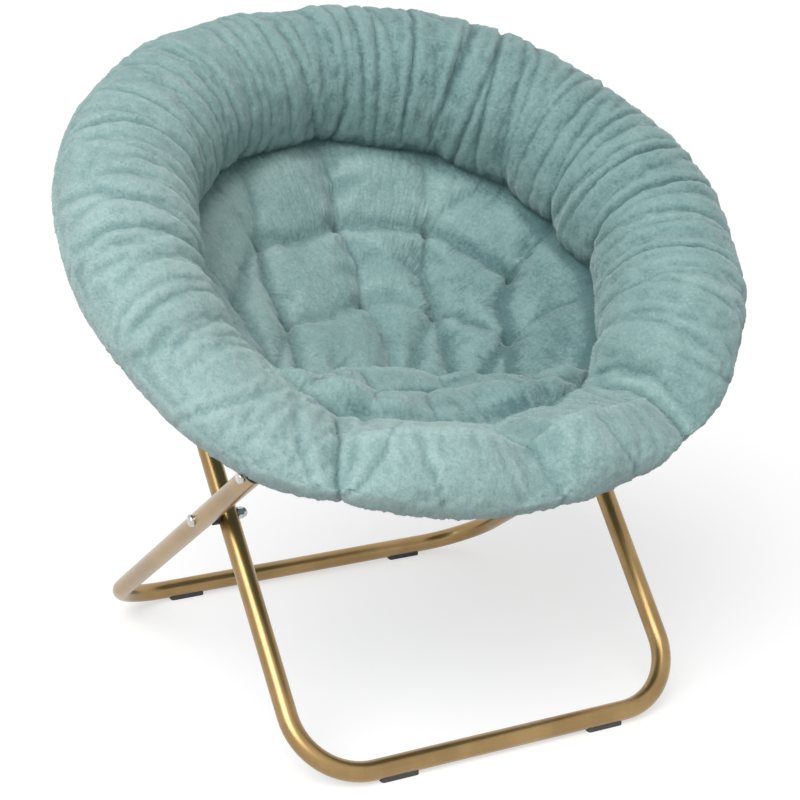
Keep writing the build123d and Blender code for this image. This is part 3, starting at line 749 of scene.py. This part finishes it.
def paintedLightField(points, onPad):
    # painted light, from -1 to 1: lighter where the cover stands above its surroundings, darker where it lies below
    # them, plus the paler sides where the light falls
    sideways = np.mean([np.roll(points, k, axis=1) for k in range(-3, 4)], axis=0)
    longer = np.concatenate([np.repeat(sideways[:1], 3, axis=0), sideways, np.repeat(sideways[-1:], 3, axis=0)])
    level = np.mean([longer[k : k + len(points)] for k in range(7)], axis=0)
    stand = np.clip(((points - level) * gridNormals(points)).sum(axis=-1) / napToneAndPaintedLight["standHeight"], -1.0, 1.0)
    turn, radius = np.arctan2(points[..., 1], points[..., 0]), np.hypot(points[..., 0], points[..., 1])
    rimPaintedLight = napToneAndPaintedLight["rim"] * np.cos(turn - math.radians(napToneAndPaintedLight["rimPaintedLightTowards"]))
    padPaintedLight = napToneAndPaintedLight["pad"] * np.cos(turn - math.radians(napToneAndPaintedLight["padPaintedLightTowards"])) * radius / cushion["seamRadius"]
    return napToneAndPaintedLight["stand"] * stand * np.clip(radius / napToneAndPaintedLight["calmRadius"], 0.1, 1.0) + np.where(onPad, padPaintedLight, rimPaintedLight)


def makeCushion():
    points, paintedShade, roll = coverForm()
    onPad = (roll < 0.0)[:, None]
    hold = np.where(onPad, np.clip(paintedShade * 1.8, 0.0, 1.0), 0.25 + 0.6 * paintedShade)
    hold = np.maximum(hold, np.where(np.abs(roll) < 0.01, 1.0, 0.0)[:, None])
    hold = np.maximum(hold, np.where(roll >= 1.0, np.clip((roll - 0.9) / 0.4, 0.0, 1.0), 0.0)[:, None])
    moved = swollen(points[::2, ::2], hold[::2, ::2])
    print("cloth pressed out, at most", round(float(np.abs(moved).max()) * 1000, 1), "mm")
    points = points + finer(moved, *points.shape[:2])

    # clumps of pile stand a little proud
    paintedCrestLight = paintedLightField(points, onPad)
    normal = gridNormals(points)
    rng = np.random.default_rng(cushion["seed"] + 3)
    clump = np.array([noise.noise(Vector(p) * clumps["scale"]) for p in points.reshape(-1, 3)])
    spacing = np.clip(np.hypot(points[..., 0], points[..., 1]) / clumps["calmRadius"], 0.05, 1.0)
    fuzz = rng.normal(0.0, clumps["fine"], paintedShade.shape) * spacing + clump.reshape(paintedShade.shape) * clumps["height"]
    points = points + normal * (fuzz * np.where(roll < 2.5, 1.0, 0.3)[:, None])[..., None]

    world = seatToWorld(points[..., 0], points[..., 1], points[..., 2])
    mesh = meshFromGrid("seatCushion", world)
    napped = np.broadcast_to(np.where(roll < 1.5, 1.0, 0.0)[:, None], paintedShade.shape)
    none = (0.0, 0.0)
    # painted crease shade and painted light go to the shader as attributes, with the napped mask
    for name, field, ends in (("paintedCreaseShade", paintedShade, none), ("paintedCrestLight", paintedCrestLight, none), ("napped", napped, (1.0, 0.0))):
        shade = mesh.attributes.new(name, "FLOAT", "POINT")
        shade.data.foreach_set("value", np.append(field.reshape(-1), ends).astype(np.float32))
    mesh.polygons.foreach_set("use_smooth", [True] * len(mesh.polygons))
    mesh.materials.append(finishes["plush"])
    piece = bpy.data.objects.new("seatCushion", mesh)
    scene.collection.objects.link(piece)
    return piece


seatCushion = makeCushion()
print("cushion made,", len(seatCushion.data.polygons), "faces")


# Pile: short leaning fibres over the napped side of the cover
pile = {"density": 154000.0, "length": 0.0023, "width": 0.0009, "lean": 0.8, "paler": 0.9, "seed": 5}


def pileTree():
    tree = bpy.data.node_groups.new("plushPile", "GeometryNodeTree")
    face = tree.interface
    face.new_socket("Cover", in_out="INPUT", socket_type="NodeSocketGeometry")
    for name in ("Density", "Length", "Width", "Lean", "Paler"):
        face.new_socket(name, in_out="INPUT", socket_type="NodeSocketFloat")
    face.new_socket("Seed", in_out="INPUT", socket_type="NodeSocketInt")
    face.new_socket("Finish", in_out="INPUT", socket_type="NodeSocketMaterial")
    face.new_socket("Pile", in_out="OUTPUT", socket_type="NodeSocketGeometry")
    w = Wire(tree)
    given = tree.nodes.new("NodeGroupInput")
    take = {socket.name: Wire(tree, socket) for socket in given.outputs if socket.name}
    napped = w.node("GeometryNodeInputNamedAttribute", {"data_type": "FLOAT"}, {"Name": "napped"})
    spread = tree.nodes.new("GeometryNodeDistributePointsOnFaces")
    tree.links.new(take["Cover"].socket, spread.inputs["Mesh"])
    tree.links.new((napped * take["Density"]).socket, spread.inputs["Density"])
    tree.links.new(take["Seed"].socket, spread.inputs["Seed"])
    drift = w.node("ShaderNodeTexNoise", {}, {"Scale": 16.0, "Detail": 3.0}, out="Color")
    single = w.node(
        "FunctionNodeRandomValue",
        {"data_type": "FLOAT_VECTOR"},
        {0: (-0.8, -0.8, -0.8), 1: (-0.2, -0.2, -0.2), "Seed": take["Seed"]},
    )
    blown = w.node("ShaderNodeVectorMath", {"operation": "ADD"}, {0: drift, 1: single})
    leant = w.node("ShaderNodeVectorMath", {"operation": "SCALE"}, {0: blown, "Scale": take["Lean"]})
    stand = w.node("ShaderNodeVectorMath", {"operation": "ADD"}, {0: Wire(tree, spread.outputs["Normal"]), 1: leant})
    turned = w.node("FunctionNodeAlignRotationToVector", {"axis": "X"}, {"Vector": stand})
    blade = w.node("GeometryNodeMeshCircle", {"fill_type": "NGON"}, {"Vertices": 3, "Radius": 0.667})
    size = w.node("FunctionNodeRandomValue", {"data_type": "FLOAT"}, {2: 0.6, 3: 1.25, "Seed": take["Seed"]}, out=1)
    shape = w.node("ShaderNodeCombineXYZ", {}, {0: take["Length"] * size, 1: take["Width"] * size, 2: 1.0})
    planted = w.node(
        "GeometryNodeInstanceOnPoints",
        {},
        {"Points": Wire(tree, spread.outputs["Points"]), "Instance": blade, "Rotation": turned, "Scale": shape},
    )
    real = w.node("GeometryNodeRealizeInstances", {}, {"Geometry": planted})
    # fibres are painted paler: partly pale pile tips, partly painted light over their own shaded sides, on top of
    # the painted light they take from the cover
    paintedCrestLight = w.node("GeometryNodeInputNamedAttribute", {"data_type": "FLOAT"}, {"Name": "paintedCrestLight"})
    tipsAndPaintedLight = w.node(
        "GeometryNodeStoreNamedAttribute",
        {"data_type": "FLOAT", "domain": "POINT"},
        {"Geometry": real, "Name": "paintedCrestLight", "Value": paintedCrestLight + take["Paler"]},
    )
    dressed = w.node("GeometryNodeSetMaterial", {}, {"Geometry": tipsAndPaintedLight, "Material": take["Finish"]})
    w.node("NodeGroupOutput", {}, {"Pile": dressed})
    return tree


def makePile(cover):
    tree = pileTree()
    piece = bpy.data.objects.new("seatPile", cover.data.copy())
    scene.collection.objects.link(piece)
    grow = piece.modifiers.new("pile", "NODES")
    grow.node_group = tree
    values = {name.capitalize(): value for name, value in pile.items()} | {"Finish": finishes["plush"]}
    for socket in tree.interface.items_tree:
        if socket.in_out == "INPUT" and socket.name in values:
            grow[socket.identifier] = values[socket.name]
    grown = bpy.data.meshes.new_from_object(piece.evaluated_get(bpy.context.evaluated_depsgraph_get()))
    piece.modifiers.clear()
    piece.data = grown
    return piece


seatPile = makePile(seatCushion)
print("pile grown,", len(seatPile.data.polygons), "faces")


# Both pieces: points on the ring's hinge band worked out, and the placement baked into the mesh
def hingePoint(along):
    return tuple(float(v) for v in seatToWorld(np.array(0.0), np.array(along), np.array(-0.045)))


for piece in (seatCushion, seatPile):
    hingePoint(-0.025)
    hingePoint(-0.275)
    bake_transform(piece)
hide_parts("rim_roll_rear", "rim_roll_front", "seat_pad_rear", "seat_pad_front")

# Pale floor and soft studio light
studio = {
    "floor": (0.50, 0.50, 0.50, 1.0),
    "floorGlow": 0.57,
    "floorSize": 30.0,
    "ambient": 0.46,
    "sun": {"from": (-1.7, -1.5, 3.0), "spread": 50.0, "strength": 2.0},
    "lamps": (("keyLamp", (-1.9, -1.9, 2.4), 1.6, 22.0),),
    "aim": (0.0, 0.0, 0.5),
}


def seenDirectly(w):
    rays = w.node("ShaderNodeLightPath", {}, {}, out="Is Camera Ray")
    gloss = w.node("ShaderNodeLightPath", {}, {}, out="Is Glossy Ray")
    through = w.node("ShaderNodeLightPath", {}, {}, out="Is Transmission Ray")
    return w.node("ShaderNodeClamp", {}, {"Value": rays + gloss + through})


def makeStudio():
    world = bpy.data.worlds.new("studio")
    world.use_nodes = True
    world.node_tree.nodes.clear()
    w = Wire(world.node_tree)
    strength = seenDirectly(w) * (1.0 - studio["ambient"]) + studio["ambient"]
    sky = w.node("ShaderNodeBackground", {}, {"Color": (1.0, 1.0, 1.0, 1.0), "Strength": strength})
    w.node("ShaderNodeOutputWorld", {}, {"Surface": sky})
    scene.world = world

    def buildFloor(w):
        return w.node(
            "ShaderNodeBsdfPrincipled",
            {},
            {
                "Base Color": studio["floor"],
                "Roughness": 0.9,
                "Specular IOR Level": 0.1,
                "Emission Color": seenDirectly(w),
                "Emission Strength": studio["floorGlow"],
            },
        )

    half = studio["floorSize"] / 2
    mesh = bpy.data.meshes.new("studioFloor")
    square = [(-half, -half, 0), (half, -half, 0), (half, half, 0), (-half, half, 0)]
    mesh.from_pydata(square, [], [(0, 1, 2, 3)])
    mesh.materials.append(makeFinish("paleFloor", buildFloor))
    floor = bpy.data.objects.new("studioFloor", mesh)
    scene.collection.objects.link(floor)

    def hang(name, light, place):
        lamp = bpy.data.objects.new(name, light)
        lamp.location = place
        lamp.rotation_euler = (Vector(studio["aim"]) - Vector(place)).to_track_quat("-Z", "Y").to_euler()
        scene.collection.objects.link(lamp)

    for name, place, size, power in studio["lamps"]:
        light = bpy.data.lights.new(name, "AREA")
        light.shape, light.size, light.energy = "DISK", size, power
        hang(name, light, place)
    sun = bpy.data.lights.new("softSun", "SUN")
    sun.energy, sun.angle = studio["sun"]["strength"], math.radians(studio["sun"]["spread"])
    hang("softSun", sun, studio["sun"]["from"])


makeStudio()
print("studio lit")
